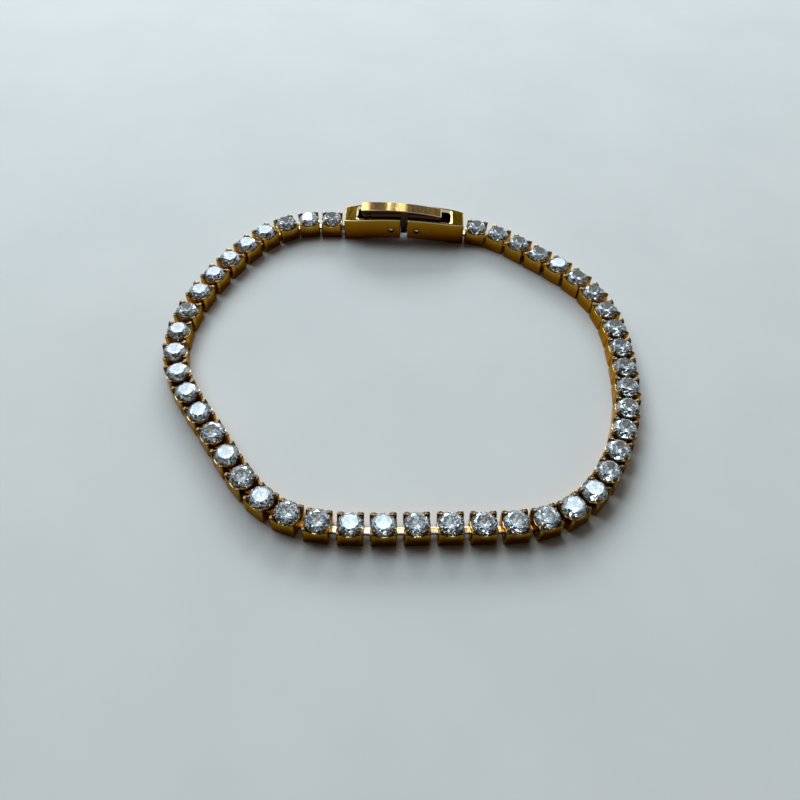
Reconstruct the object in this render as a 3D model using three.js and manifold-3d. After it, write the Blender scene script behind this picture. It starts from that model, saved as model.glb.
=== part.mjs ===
// A tennis bracelet lying in a closed loop with its stones up. Square claw settings, each with a
// round brilliant, are linked tongue into window, and a butterfly clasp closes the loop.
// Lengths are millimetres and +Z is up. The origin is under the middle of the loop, on the surface.
import * as THREE from 'three';
import { ConvexGeometry } from 'three/addons/geometries/ConvexGeometry.js';
import { mergeVertices } from 'three/addons/utils/BufferGeometryUtils.js';
import Module from 'manifold-3d';

const wasm = await Module();
wasm.setup();

// Stones
const STONE_COUNT = 45;
const STONE_DIAMETER = 3.0;
const TABLE_DIAMETER = 1.75;
const CROWN_HEIGHT = 0.55;
const PAVILION_DEPTH = 1.2;
const TABLE_SIDES = 8;
const GIRDLE_SIDES = 16;

// Settings
const END_RIM = 0.025;
const SIDE_RIM = 0.05;
const SETTING_WALL = 0.35;
const PRONG_SIZE = 0.6;
const PRONG_RISE = 0.36;
const PRONG_BEVEL = 0.14;
const PRONG_SEAT = 0.12;
const PRONG_LEAN = 0.35;
const RIM_DROP = 0.3;

// Links: the tongue of one setting passes through the window of the next
const SILL_HEIGHT = 0.2;
const TONGUE_WIDTH = 0.9;
const TONGUE_THICKNESS = 0.35;
const HEAD_WIDTH = 1.7;
const HEAD_THICKNESS = 0.35;
const LINK_PLAY = 0.25;
const WINDOW_PLAY = 0.2;
const HEAD_PLAY = 0.35;
const LINK_GAP = 0.57;

// The gap after a link, as a share of the usual gap, where the chain is pulled out or pushed up
const GAP_TABLE = [
  { link: 1, share: 0.8 },
  { link: 5, share: 1.2 },
  { link: 8, share: 1.55 },
  { link: 11, share: 1.05 },
  { link: 15, share: 1.35 },
  { link: 19, share: 1.05 },
  { link: 23, share: 1.3 },
  { link: 27, share: 0.85 },
  { link: 30, share: 0.75 },
  { link: 34, share: 0.65 },
  { link: 38, share: 0.95 },
  { link: 41, share: 0.85 },
  { link: 46, share: 0.9 },
];

// Clasp covers
const CLASP_LENGTH = 17.9;
const CLASP_RISE = 0.75;
const COVER_WIDTH = 3.9;
const COVER_END_WIDTH = 3.3;
const COVER_TAPER = 2.2;
const COVER_HEIGHT = 3.3;
const COVER_FLOOR = 0.7;
const COVER_CHAMFER = 0.3;
const CENTRE_GAP = 1.05;
const POCKET_WIDTH = 2.35;
const POCKET_CHAMFER = 0.3;
const END_BLOCK = 2.0;
const RIM_BEVEL = 0.2;

// Clasp bridge
const BRIDGE_LENGTH = 12.0;
const BRIDGE_WIDTH = 2.0;
const BRIDGE_PLATE = 0.4;
const BRIDGE_FLANGE = 0.35;
const BRIDGE_DEPTH = 1.85;
const BRIDGE_TIP = 0.4;
const BRIDGE_LIFT = 0.95;
const BRIDGE_SLOPE = 0.056;
const BRIDGE_BULGE = 0.12;
const BRIDGE_SHIFT = 0.45;
const LUG_LENGTH = 0.65;
const LUG_CLEARANCE = 0.2;

// Clasp leaves, rivets and pins
const RIVET_INSET = 1.4;
const RIVET_HEIGHT = 1.5;
const RIVET_DIAMETER = 0.72;
const RIVET_BORE = 1.0;
const RIVET_DOME = 0.15;
const LEAF_WIDTH = 1.0;
const LEAF_HEIGHT = 1.05;
const PIN_INSET = 1.2;
const PIN_DROP = 1.0;
const PIN_DIAMETER = 0.45;
const PIN_CLEARANCE = 0.1;
const PIN_WALL = 0.2;
const ROUND_SIDES = 12;
const BEND_STEPS = 4;

// How far a cut runs past what it cuts, and how little two pieces that join overlap
const OVERCUT = 1.0;
const OVERLAP = 0.01;

// Points closer together than this are one point
const MERGE_DISTANCE = 1e-5;

// Rounds of halving that find a place on the route, the longest step there, and the scales tried
const HALVINGS = 50;
const LONGEST_STEP = 0.1;
const SMALLEST_SCALE = 0.2;
const LARGEST_SCALE = 5;

// How far the route is eased round its points, as a share of the way between two of them
const EASE = 0.6;

// Where the chain lies, from the tongue end of the clasp right round the loop. The solver below
// opens or closes this route until the links and the clasp fill it.
const ROUTE = [
  [-8.7, 26.1],
  [-16.0, 26.2],
  [-21.5, 21.3],
  [-25.8, 14.3],
  [-28.6, 7.3],
  [-29.5, -0.3],
  [-27.2, -6.6],
  [-22.6, -13.1],
  [-18.7, -19.5],
  [-13.8, -24.8],
  [-6.3, -26.2],
  [2.0, -25.9],
  [9.8, -25.8],
  [17.1, -25.3],
  [22.6, -21.6],
  [26.3, -15.3],
  [28.7, -8.6],
  [29.2, -0.6],
  [28.8, 7.9],
  [25.2, 14.8],
  [19.6, 19.2],
  [13.2, 25.0],
  [6.5, 25.2],
  [-1.2, 25.5],
];

// Sizes that follow from the ones above
const SETTING_LENGTH = STONE_DIAMETER + 2 * END_RIM;
const SETTING_WIDTH = STONE_DIAMETER + 2 * SIDE_RIM;
const TONGUE_BOTTOM = SILL_HEIGHT + LINK_PLAY;
const TONGUE_TOP = TONGUE_BOTTOM + TONGUE_THICKNESS;
const WINDOW_TOP = TONGUE_TOP + LINK_PLAY;
const WINDOW_WIDTH = TONGUE_WIDTH + 2 * WINDOW_PLAY;
const GIRDLE_HEIGHT = WINDOW_TOP + PAVILION_DEPTH;
const RIM_HEIGHT = GIRDLE_HEIGHT - RIM_DROP;
const PRONG_TOP = GIRDLE_HEIGHT + PRONG_RISE;
const WIDEST_GAP = LINK_GAP * Math.max(...GAP_TABLE.map((row) => row.share));
const TONGUE_REACH = WIDEST_GAP + SETTING_WALL + HEAD_PLAY;
const CLASP_END = CLASP_LENGTH / 2;
const COVER_START = CENTRE_GAP / 2;
const RIVET_X = COVER_START + RIVET_INSET;
const BRIDGE_END = BRIDGE_LENGTH / 2;
const PIN_BORE = PIN_DIAMETER + 2 * PIN_CLEARANCE;
const PIN_BOSS = PIN_BORE + 2 * PIN_WALL;

const metal = new THREE.MeshStandardMaterial({ color: 0xc9a24a, metalness: 1, roughness: 0.28 });
const darkMetal = new THREE.MeshStandardMaterial({ color: 0x8a6a35, metalness: 1, roughness: 0.4 });

// A closed geometry made into a solid that can be joined and cut
function solid(geometry) {
  const bare = geometry.clone();
  bare.deleteAttribute('normal');
  bare.deleteAttribute('uv');
  const merged = mergeVertices(bare, MERGE_DISTANCE);
  const vertProperties = new Float32Array(merged.attributes.position.array);
  const triVerts = new Uint32Array(merged.index.array);
  return new wasm.Manifold(new wasm.Mesh({ numProp: 3, vertProperties, triVerts }));
}

function geometryOf(body) {
  const mesh = body.getMesh();
  const geometry = new THREE.BufferGeometry();
  geometry.setAttribute('position', new THREE.BufferAttribute(mesh.vertProperties, 3));
  geometry.setIndex(new THREE.BufferAttribute(mesh.triVerts, 1));
  return geometry;
}

function block(x0, x1, y0, y1, z0, z1) {
  const geometry = new THREE.BoxGeometry(x1 - x0, y1 - y0, z1 - z0);
  return solid(geometry.translate((x0 + x1) / 2, (y0 + y1) / 2, (z0 + z1) / 2));
}

function shapeOf(points) {
  return new THREE.Shape(points.map(([a, b]) => new THREE.Vector2(a, b)));
}

// An outline in X and Y, raised from one height to another
function raised(points, z0, z1) {
  const geometry = new THREE.ExtrudeGeometry(shapeOf(points), { depth: z1 - z0, bevelEnabled: false });
  return solid(geometry.translate(0, 0, z0));
}

// A side view in X and Z, as thick as the given width across Y
function across(points, width) {
  const geometry = new THREE.ExtrudeGeometry(shapeOf(points), { depth: width, bevelEnabled: false });
  return solid(geometry.rotateX(Math.PI / 2).translate(0, width / 2, 0));
}

// A round rod across Y, with its two ends domed by the given amount
function rod(x, z, diameter, width, dome) {
  const half = width / 2;
  const radius = diameter / 2;
  const profile = [[0, -half], [radius / 2, dome * 0.25 - half], [radius, dome - half],
    [radius, half - dome], [radius / 2, half - dome * 0.25], [0, half]];
  const outline = profile.map(([r, y]) => new THREE.Vector2(r, y));
  return solid(new THREE.LatheGeometry(outline, ROUND_SIDES).translate(x, 0, z));
}

// A plain round bar across Y, which also cuts the bores
function cylinder(x, z, diameter, width) {
  const geometry = new THREE.CylinderGeometry(diameter / 2, diameter / 2, width, ROUND_SIDES);
  return solid(geometry.translate(x, 0, z));
}

function ring(radius, z, sides, turn) {
  return Array.from({ length: sides }, (_, k) => {
    const angle = ((k + turn) * 2 * Math.PI) / sides;
    return new THREE.Vector3(radius * Math.cos(angle), radius * Math.sin(angle), z);
  });
}

// The cut stone: a flat table, crown facets and a pavilion that runs down to the culet
function brilliant() {
  return solid(new ConvexGeometry([
    new THREE.Vector3(0, 0, WINDOW_TOP),
    ...ring(STONE_DIAMETER / 2, GIRDLE_HEIGHT, GIRDLE_SIDES, 0.5),
    ...ring(TABLE_DIAMETER / 2, GIRDLE_HEIGHT + CROWN_HEIGHT, TABLE_SIDES, 0),
  ]));
}

function corners(length, width, z) {
  return [[1, 1], [1, -1], [-1, 1], [-1, -1]].map(
    ([x, y]) => new THREE.Vector3((x * length) / 2, (y * width) / 2, z));
}

// The dip in the rim between two prongs, seen from the side, for a wall of the given length
function rimDip(length) {
  const edge = length / 2 - PRONG_SIZE;
  const above = PRONG_TOP + OVERCUT;
  const low = edge - (GIRDLE_HEIGHT - RIM_HEIGHT) * PRONG_LEAN;
  const high = edge + (above - GIRDLE_HEIGHT) * PRONG_LEAN;
  return [[-high, above], [-low, RIM_HEIGHT], [low, RIM_HEIGHT], [high, above]];
}

// The tongue with its cross head, starting inside a wall whose outer face is at the given x
function tongue(face) {
  const neck = TONGUE_WIDTH / 2;
  const head = HEAD_WIDTH / 2;
  const start = face - SETTING_WALL / 2;
  const near = face + TONGUE_REACH;
  const far = near + HEAD_THICKNESS;
  return raised([[start, -neck], [near, -neck], [near, -head], [far, -head],
    [far, head], [near, head], [near, neck], [start, neck]], TONGUE_BOTTOM, TONGUE_TOP);
}

// The window that the next tongue comes in by, through an end wall whose outer face is at -face
function windowCut(face) {
  const half = WINDOW_WIDTH / 2;
  const inner = SETTING_WALL + OVERLAP - face;
  return block(-face - OVERCUT, inner, -half, half, SILL_HEIGHT, WINDOW_TOP);
}

// One link: an open-bottomed claw setting with its stone, its window and its tongue
function link() {
  const cavityLength = SETTING_LENGTH - 2 * SETTING_WALL;
  const cavityWidth = SETTING_WIDTH - 2 * SETTING_WALL;
  const body = solid(new ConvexGeometry([
    ...corners(SETTING_LENGTH, SETTING_WIDTH, 0),
    ...corners(SETTING_LENGTH, SETTING_WIDTH, GIRDLE_HEIGHT),
    ...corners(SETTING_LENGTH - 2 * PRONG_BEVEL, SETTING_WIDTH - 2 * PRONG_BEVEL, PRONG_TOP),
  ]));
  const endDip = across(rimDip(SETTING_LENGTH), SETTING_WIDTH + 2 * OVERCUT);
  const quarterTurn = [0, 0, 90];
  const sideDip = across(rimDip(SETTING_WIDTH), SETTING_LENGTH + 2 * OVERCUT).rotate(quarterTurn);
  const cavity = block(-cavityLength / 2, cavityLength / 2, -cavityWidth / 2, cavityWidth / 2,
    -OVERCUT, GIRDLE_HEIGHT - PRONG_SEAT);
  return body
    .subtract(endDip)
    .subtract(sideDip)
    .subtract(cavity)
    .subtract(windowCut(SETTING_LENGTH / 2))
    .add(brilliant())
    .add(tongue(SETTING_LENGTH / 2));
}

// The clasp arches gently, so its middle stands clear of the surface
function rise(x) {
  return CLASP_RISE * (1 - (x / CLASP_END) ** 2);
}

function bridgeTop(x) {
  const along = (x - BRIDGE_SHIFT) / BRIDGE_END;
  return rise(x) + COVER_HEIGHT + BRIDGE_LIFT + BRIDGE_SLOPE * x - BRIDGE_BULGE * along ** 2;
}

function steps(start, end, count) {
  return Array.from({ length: count + 1 }, (_, k) => start + ((end - start) * k) / count);
}

// The side view of a cover between two heights above its arched underside
function coverSide(side, low, high, start, end, chamfer) {
  const top = steps(start, end - chamfer, BEND_STEPS).map((x) => [side * x, rise(x) + high]);
  const corner = [side * end, rise(end) + high - chamfer];
  const under = steps(end, start, BEND_STEPS).map((x) => [side * x, rise(x) + low]);
  return [...top, corner, ...under];
}

// The plan of a cover, narrowing to its chain end
function coverPlan(side) {
  const wide = COVER_WIDTH / 2;
  const narrow = COVER_END_WIDTH / 2;
  const start = CLASP_END - COVER_TAPER;
  const edge = steps(0, 1, BEND_STEPS).map((share) => {
    const x = start + share * (COVER_TAPER - COVER_CHAMFER);
    return [side * x, wide - (wide - narrow) * (1 - Math.cos((share * Math.PI) / 2))];
  });
  const half = [[side * COVER_START, wide], ...edge, [side * CLASP_END, narrow - COVER_CHAMFER]];
  return [...half, ...half.map(([x, y]) => [x, -y]).reverse()];
}

// The pocket that the leaf and the bridge close into, open at the clasp's middle
function pocket(side) {
  const end = CLASP_END - END_BLOCK;
  const half = POCKET_WIDTH / 2;
  const plan = [[-side, half], [side * (end - POCKET_CHAMFER), half], [side * end, half - POCKET_CHAMFER]];
  const outline = [...plan, ...plan.map(([x, y]) => [x, -y]).reverse()];
  const above = COVER_HEIGHT + OVERCUT;
  const view = across(coverSide(side, COVER_FLOOR, above, 0, end, OVERLAP), POCKET_WIDTH + OVERCUT);
  return raised(outline, -OVERCUT, CLASP_RISE + above + OVERCUT).intersect(view);
}

// A sloped cut all round the pocket's rim
function pocketBevel(side) {
  const end = CLASP_END - END_BLOCK;
  const low = COVER_HEIGHT - RIM_BEVEL;
  const high = COVER_HEIGHT + RIM_BEVEL;
  const half = POCKET_WIDTH / 2 - RIM_BEVEL / 2;
  const spots = steps(0, end, BEND_STEPS);
  const pieces = spots.slice(1).map((x, k) => {
    const points = [];
    for (const at of [spots[k] - OVERLAP, x + OVERLAP]) {
      for (const y of [-1, 1]) {
        points.push(new THREE.Vector3(side * at, y * half, rise(at) + low));
        points.push(new THREE.Vector3(side * at, y * (half + 2 * RIM_BEVEL), rise(at) + high));
      }
    }
    return solid(new ConvexGeometry(points));
  });
  return pieces.reduce((whole, piece) => whole.add(piece));
}

// A cover: one arched half of the clasp, with its pocket and the bore for its rivet
function cover(side) {
  const outline = coverSide(side, 0, COVER_HEIGHT, COVER_START, CLASP_END, COVER_CHAMFER);
  const plan = raised(coverPlan(side), -OVERCUT, CLASP_RISE + COVER_HEIGHT + OVERCUT);
  const rivetHeight = rise(RIVET_X) + RIVET_HEIGHT;
  return across(outline, COVER_WIDTH + OVERCUT)
    .intersect(plan)
    .subtract(pocket(side))
    .subtract(pocketBevel(side))
    .subtract(cylinder(side * RIVET_X, rivetHeight, RIVET_BORE, COVER_WIDTH + OVERCUT));
}

// The end block of this cover is hollow from below, so that the last tongue's head turns in it
function entryCover() {
  const inner = SETTING_WALL - CLASP_END;
  const length = END_BLOCK - 2 * SETTING_WALL;
  const half = SETTING_WIDTH / 2 - SETTING_WALL;
  return cover(-1)
    .subtract(windowCut(CLASP_END))
    .subtract(block(inner, inner + length, -half, half, -OVERCUT, WINDOW_TOP));
}

function tongueCover() {
  return cover(1).add(tongue(CLASP_END));
}

function pinX(side) {
  return BRIDGE_SHIFT + side * (BRIDGE_END - PIN_INSET);
}

function pinHeight(side) {
  return bridgeTop(pinX(side)) - PIN_DROP;
}

function bridgeSpots(length) {
  return steps(BRIDGE_SHIFT - length / 2, BRIDGE_SHIFT + length / 2, 2 * BEND_STEPS);
}

// How deep the bridge's flanges hang, deepest in the middle and thin at the two ends
function bridgeDepth(x) {
  const along = (x - BRIDGE_SHIFT) / BRIDGE_END;
  return BRIDGE_TIP + (BRIDGE_DEPTH - BRIDGE_TIP) * Math.sqrt(Math.max(0, 1 - along ** 4));
}

// The arched strip and its flanges, as deep all over as the flanges are
function bridgeBody() {
  const spots = bridgeSpots(BRIDGE_LENGTH);
  const top = spots.map((x) => [x, bridgeTop(x)]);
  const under = spots.map((x) => [x, bridgeTop(x) - bridgeDepth(x)]).reverse();
  return across([...top, ...under], BRIDGE_WIDTH);
}

// The channel under the strip, between the flanges
function bridgeChannel() {
  const spots = bridgeSpots(BRIDGE_LENGTH + 2 * OVERCUT);
  const top = spots.map((x) => [x, bridgeTop(x) - BRIDGE_PLATE]);
  const [start, end] = [spots[0], spots[spots.length - 1]];
  return across([...top, [end, -OVERCUT], [start, -OVERCUT]], BRIDGE_WIDTH - 2 * BRIDGE_FLANGE);
}

// A round bar at one of the bridge's pins
function pinBar(side, diameter, width) {
  return cylinder(pinX(side), pinHeight(side), diameter, width);
}

// The bridge: an arched strip with two side flanges, a boss round each pin, and a lug that snaps
// down between the covers
function bridge() {
  const half = BRIDGE_WIDTH / 2;
  const lug = block(-LUG_LENGTH / 2, LUG_LENGTH / 2, -half, half,
    CLASP_RISE + LUG_CLEARANCE, bridgeTop(0) - BRIDGE_PLATE / 2);
  return bridgeBody()
    .add(pinBar(1, PIN_BOSS, BRIDGE_WIDTH))
    .add(pinBar(-1, PIN_BOSS, BRIDGE_WIDTH))
    .subtract(bridgeChannel())
    .subtract(pinBar(1, PIN_BORE, BRIDGE_WIDTH + OVERCUT))
    .subtract(pinBar(-1, PIN_BORE, BRIDGE_WIDTH + OVERCUT))
    .add(lug);
}

// A leaf: the lever from the cover's rivet to the pin at the bridge's end
function leaf(side) {
  const foot = new THREE.Vector2(side * RIVET_X, rise(RIVET_X) + RIVET_HEIGHT);
  const tip = new THREE.Vector2(pinX(side), pinHeight(side));
  const angle = Math.atan2(tip.y - foot.y, tip.x - foot.x);
  const arc = (centre, from) => steps(from, from + Math.PI, ROUND_SIDES / 2).map((turn) => [
    centre.x + (LEAF_HEIGHT / 2) * Math.cos(turn),
    centre.y + (LEAF_HEIGHT / 2) * Math.sin(turn),
  ]);
  const outline = [...arc(tip, angle - Math.PI / 2), ...arc(foot, angle + Math.PI / 2)];
  const footBore = RIVET_DIAMETER + 2 * PIN_CLEARANCE;
  return across(outline, LEAF_WIDTH)
    .subtract(cylinder(foot.x, foot.y, footBore, LEAF_WIDTH + OVERCUT))
    .subtract(cylinder(tip.x, tip.y, PIN_BORE, LEAF_WIDTH + OVERCUT));
}

function rivet(side) {
  return rod(side * RIVET_X, rise(RIVET_X) + RIVET_HEIGHT, RIVET_DIAMETER, COVER_WIDTH, RIVET_DOME);
}

function bridgePin(side) {
  return pinBar(side, PIN_DIAMETER, BRIDGE_WIDTH);
}

// The gap after a link, read from the table
function gapAfter(link) {
  const next = Math.max(1, GAP_TABLE.findIndex((row) => row.link >= link));
  const before = GAP_TABLE[next - 1];
  const after = GAP_TABLE[next];
  const along = (link - before.link) / (after.link - before.link);
  return LINK_GAP * (before.share + (after.share - before.share) * along);
}

function routeAt(scale) {
  const points = ROUTE.map(([x, y]) => new THREE.Vector3(x * scale, y * scale, 0));
  return new THREE.CatmullRomCurve3(points, true, 'centripetal');
}

// A point of the route, eased with its neighbours so that the chain turns evenly
function pointOn(route, place) {
  const reach = EASE / ROUTE.length;
  const [before, at, after] = [place - reach, place, place + reach].map((t) => route.getPoint(t + 1));
  return before.add(after).addScaledVector(at, 2).divideScalar(4);
}

// The next place on the route that lies one straight chord away
function step(route, place, chord) {
  const from = pointOn(route, place);
  let near = place;
  let far = place + LONGEST_STEP;
  for (let round = 0; round < HALVINGS; round += 1) {
    const middle = (near + far) / 2;
    if (pointOn(route, middle).distanceTo(from) < chord) near = middle;
    else far = middle;
  }
  return (near + far) / 2;
}

// The joint before each link and after the last one, for a route of the given scale
function jointsAt(scale) {
  const route = routeAt(scale);
  const places = [0];
  for (let count = 1; count <= STONE_COUNT; count += 1) {
    places.push(step(route, places[count - 1], SETTING_LENGTH + gapAfter(count)));
  }
  const overrun = places[STONE_COUNT] > 1;
  const points = places.map((place) => pointOn(route, place));
  const room = overrun ? 0 : points[STONE_COUNT].distanceTo(points[0]);
  return { points, room };
}

// The route's scale at which the clasp just closes the loop
function closedJoints() {
  const claspChord = CLASP_LENGTH + gapAfter(STONE_COUNT + 1);
  let small = SMALLEST_SCALE;
  let large = LARGEST_SCALE;
  for (let round = 0; round < HALVINGS; round += 1) {
    const middle = (small + large) / 2;
    if (jointsAt(middle).room < claspChord) small = middle;
    else large = middle;
  }
  return jointsAt((small + large) / 2).points;
}

// Puts a piece whose entry wall is centred on one joint so that it points at the next joint
function aim(object, from, to, length) {
  const heading = to.clone().sub(from).normalize();
  object.position.copy(from).addScaledVector(heading, (length - SETTING_WALL) / 2);
  object.rotation.z = Math.atan2(heading.y, heading.x);
  return object;
}

function named(name, geometry, material) {
  const mesh = new THREE.Mesh(geometry, material);
  mesh.name = name;
  return mesh;
}

function chain(joints) {
  const geometry = geometryOf(link());
  return Array.from({ length: STONE_COUNT }, (_, k) => {
    const name = `link_${String(k + 1).padStart(2, '0')}`;
    return aim(named(name, geometry, metal), joints[k], joints[k + 1], SETTING_LENGTH);
  });
}

function clasp(joints) {
  const group = new THREE.Group();
  group.add(named('clasp_cover_left', geometryOf(tongueCover()), metal));
  group.add(named('clasp_cover_right', geometryOf(entryCover()), metal));
  group.add(named('clasp_bridge', geometryOf(bridge()), metal));
  for (const [word, side] of [['left', 1], ['right', -1]]) {
    group.add(named(`clasp_leaf_${word}`, geometryOf(leaf(side)), darkMetal));
    group.add(named(`clasp_rivet_${word}`, geometryOf(rivet(side)), metal));
    group.add(named(`bridge_pin_${word}`, geometryOf(bridgePin(side)), metal));
  }
  return aim(group, joints[STONE_COUNT], joints[0], CLASP_LENGTH);
}

// The whole loop, moved so that the origin is under the middle of its box
function bracelet() {
  const joints = closedJoints();
  const group = new THREE.Group();
  group.add(...chain(joints), clasp(joints));
  group.updateMatrixWorld(true);
  const box = new THREE.Box3().setFromObject(group, true);
  const middle = box.getCenter(new THREE.Vector3());
  group.position.set(-middle.x, -middle.y, -box.min.z);
  return group;
}

export default bracelet();
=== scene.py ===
# %% [markdown]
# # A tennis bracelet, dressed around its CAD frame
#
# The real thing is a chain of forty-five small square claw settings, each with a round brilliant,
# closed by a butterfly clasp. The frame holds every piece at its true size and place, so this
# lesson only makes the surfaces that the eye meets: rounded claws, full facets, brushed gold.
# Everything is modelled in millimetres, because the pieces are a few of them long, and is scaled
# to metres when it is put in its place.

# %% Load the frame
import math

import bmesh
import bpy
import numpy as np
from mathutils import Matrix, Vector


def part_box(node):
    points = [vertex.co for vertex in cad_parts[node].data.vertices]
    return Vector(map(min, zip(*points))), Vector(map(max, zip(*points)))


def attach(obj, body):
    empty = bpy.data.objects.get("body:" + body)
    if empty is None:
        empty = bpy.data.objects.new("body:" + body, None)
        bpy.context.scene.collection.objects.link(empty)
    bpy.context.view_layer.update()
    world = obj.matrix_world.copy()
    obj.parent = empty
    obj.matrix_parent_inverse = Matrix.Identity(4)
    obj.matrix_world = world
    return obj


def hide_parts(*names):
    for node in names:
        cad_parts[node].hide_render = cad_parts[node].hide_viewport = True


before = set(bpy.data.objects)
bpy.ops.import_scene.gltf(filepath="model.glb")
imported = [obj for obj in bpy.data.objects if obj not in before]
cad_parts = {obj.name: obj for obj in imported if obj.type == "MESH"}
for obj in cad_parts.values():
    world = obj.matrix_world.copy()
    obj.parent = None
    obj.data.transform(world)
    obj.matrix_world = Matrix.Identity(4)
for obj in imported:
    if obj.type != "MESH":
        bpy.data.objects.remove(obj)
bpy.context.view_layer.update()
MM = 0.001

# %% [markdown]
# The camera comes first, so that every later choice can be judged through it. A phone looked down
# on the loop from in front. Its lens is given the way a photographer would, as a focal length on a
# 36 mm sensor, and its place was found by fitting the stones of the frame to their places in view.

# %% Camera
CAMERA_PLACE = Vector((-2.03, -71.84, 81.30)) * MM
CAMERA_TURN = (0.6736, -0.0225, -0.0046)
CAMERA_LENS = 36.4
CAMERA_NEAR = 5 * MM
SENSOR_WIDTH = 36


def make_camera():
    data = bpy.data.cameras.new("camera")
    data.sensor_width = SENSOR_WIDTH
    data.lens = CAMERA_LENS
    data.clip_start = CAMERA_NEAR
    camera = bpy.data.objects.new("camera", data)
    camera.location = CAMERA_PLACE
    camera.rotation_euler = CAMERA_TURN
    bpy.context.scene.collection.objects.link(camera)
    bpy.context.scene.camera = camera


make_camera()
print("camera: lens", CAMERA_LENS, "mm")

# %% [markdown]
# A small jewel has few tools: a closed shape that becomes a piece, and two shapes that are joined
# or cut. The joining is left to Blender's exact Boolean, because bars and tubes that cross at odd
# places are just what it is good at, and corners that land less than half a thousandth of a
# millimetre apart are welded into one. Edges that are really sharp keep their hard line and the
# rest is shaded smooth.

# %% Workshop helpers
SHARP_ANGLE = math.radians(32)
PARALLEL = 0.99
WELD = 0.0005


def mesh_of(bm, name):
    """The finished bmesh as a mesh, with all its faces turned outward."""
    bmesh.ops.recalc_face_normals(bm, faces=bm.faces)
    mesh = bpy.data.meshes.new(name)
    bm.to_mesh(mesh)
    bm.free()
    return mesh


def fused(first, second, operation):
    """Joins or cuts two bmeshes with the exact Boolean and returns the result as a bmesh."""
    base = bpy.data.objects.new("base", mesh_of(first, "base"))
    tool = bpy.data.objects.new("tool", mesh_of(second, "tool"))
    bpy.context.scene.collection.objects.link(base)
    bpy.context.scene.collection.objects.link(tool)
    modifier = base.modifiers.new("fuse", "BOOLEAN")
    modifier.operation = operation
    modifier.solver = "EXACT"
    modifier.object = tool
    result = bmesh.new()
    result.from_object(base, bpy.context.evaluated_depsgraph_get())
    bpy.data.objects.remove(base)
    bpy.data.objects.remove(tool)
    bmesh.ops.remove_doubles(result, verts=result.verts, dist=WELD)
    return result


def shade(bm, sharp_angle=SHARP_ANGLE):
    """Smooth faces, with a hard line wherever two faces meet at more than the given angle."""
    for face in bm.faces:
        face.smooth = True
    for edge in bm.edges:
        edge.smooth = len(edge.link_faces) == 2 and edge.calc_face_angle(0) < sharp_angle


def box(x0, x1, y0, y1, z0, z1):
    bm = bmesh.new()
    size = Matrix.Diagonal((x1 - x0, y1 - y0, z1 - z0, 1))
    middle = Matrix.Translation(((x0 + x1) / 2, (y0 + y1) / 2, (z0 + z1) / 2))
    bmesh.ops.create_cube(bm, size=1, matrix=middle @ size)
    return bm


def round_edges(bm, edges, radius, segments=3):
    bmesh.ops.bevel(bm, geom=edges, offset=radius, offset_type="OFFSET", segments=segments,
                    profile=0.5, affect="EDGES", material=-1, clamp_overlap=True)


def along(edge, axis):
    """True for an edge that runs along the given axis: 0 is X, 1 is Y, 2 is Z."""
    direction = edge.verts[1].co - edge.verts[0].co
    return abs(direction[axis]) > PARALLEL * direction.length


def show(name, mesh, material, slot, *nodes):
    """A finished mesh becomes a piece that rides on the bracelet and stands for its CAD nodes."""
    mesh.name = name
    mesh.materials.clear()
    mesh.materials.append(material)
    piece = bpy.data.objects.new(name, mesh)
    bpy.context.scene.collection.objects.link(piece)
    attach(piece, "root")
    if nodes:
        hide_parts(*nodes)
    return piece


print("helpers: edges over", round(math.degrees(SHARP_ANGLE)), "degrees stay sharp")

# %% [markdown]
# A finish is a small tree of nodes. It could be wired by hand in the shader editor, but a few short
# helpers say the same in words and can be used again. One makes a node and one feeds a socket. The
# others make soft clouds, stretch one range onto another, blend two colours and multiply. Clouds
# wander about a half, so a stretch from 0.35 to 0.7 is soft and one from 0.42 to 0.56 is crisp.

# %% Material helpers
def new_material(name):
    material = bpy.data.materials.new(name)
    material.use_nodes = True
    tree = material.node_tree
    return material, tree, tree.nodes["Principled BSDF"]


def add(tree, kind, **settings):
    """A new node of the given kind."""
    node = tree.nodes.new(kind)
    for key, value in settings.items():
        setattr(node, key, value)
    return node


def feed(tree, value, socket):
    """Gives a socket its value: a link from another socket, or a plain number or colour."""
    if isinstance(value, bpy.types.NodeSocket):
        tree.links.new(value, socket)
    else:
        socket.default_value = value


def noise(tree, coordinates, scale, detail=3.0, stretch=(1, 1, 1)):
    """A soft cloud pattern at the given number of features a metre."""
    mapping = add(tree, "ShaderNodeMapping")
    feed(tree, stretch, mapping.inputs["Scale"])
    feed(tree, coordinates.outputs["Object"], mapping.inputs["Vector"])
    cloud = add(tree, "ShaderNodeTexNoise")
    feed(tree, scale, cloud.inputs["Scale"])
    feed(tree, detail, cloud.inputs["Detail"])
    feed(tree, mapping.outputs["Vector"], cloud.inputs["Vector"])
    return cloud.outputs["Fac"]


def remap(tree, value, low, high, out_low=0.0, out_high=1.0):
    """Stretches a value: low becomes out_low, high becomes out_high, and it stops at both."""
    node = add(tree, "ShaderNodeMapRange")
    feed(tree, value, node.inputs["Value"])
    ends = {"From Min": low, "From Max": high, "To Min": out_low, "To Max": out_high}
    for socket, end in ends.items():
        feed(tree, end, node.inputs[socket])
    return node.outputs["Result"]


def blend_colours(tree, factor, first, second):
    node = add(tree, "ShaderNodeMix", data_type="RGBA")
    feed(tree, factor, node.inputs["Factor"])
    feed(tree, first, node.inputs["A"])
    feed(tree, second, node.inputs["B"])
    return node.outputs["Result"]


def times(tree, first, second):
    node = add(tree, "ShaderNodeMath", operation="MULTIPLY")
    feed(tree, first, node.inputs[0])
    feed(tree, second, node.inputs[1])
    return node.outputs["Value"]


print("material helpers: clouds, stretches, blends")

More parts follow.
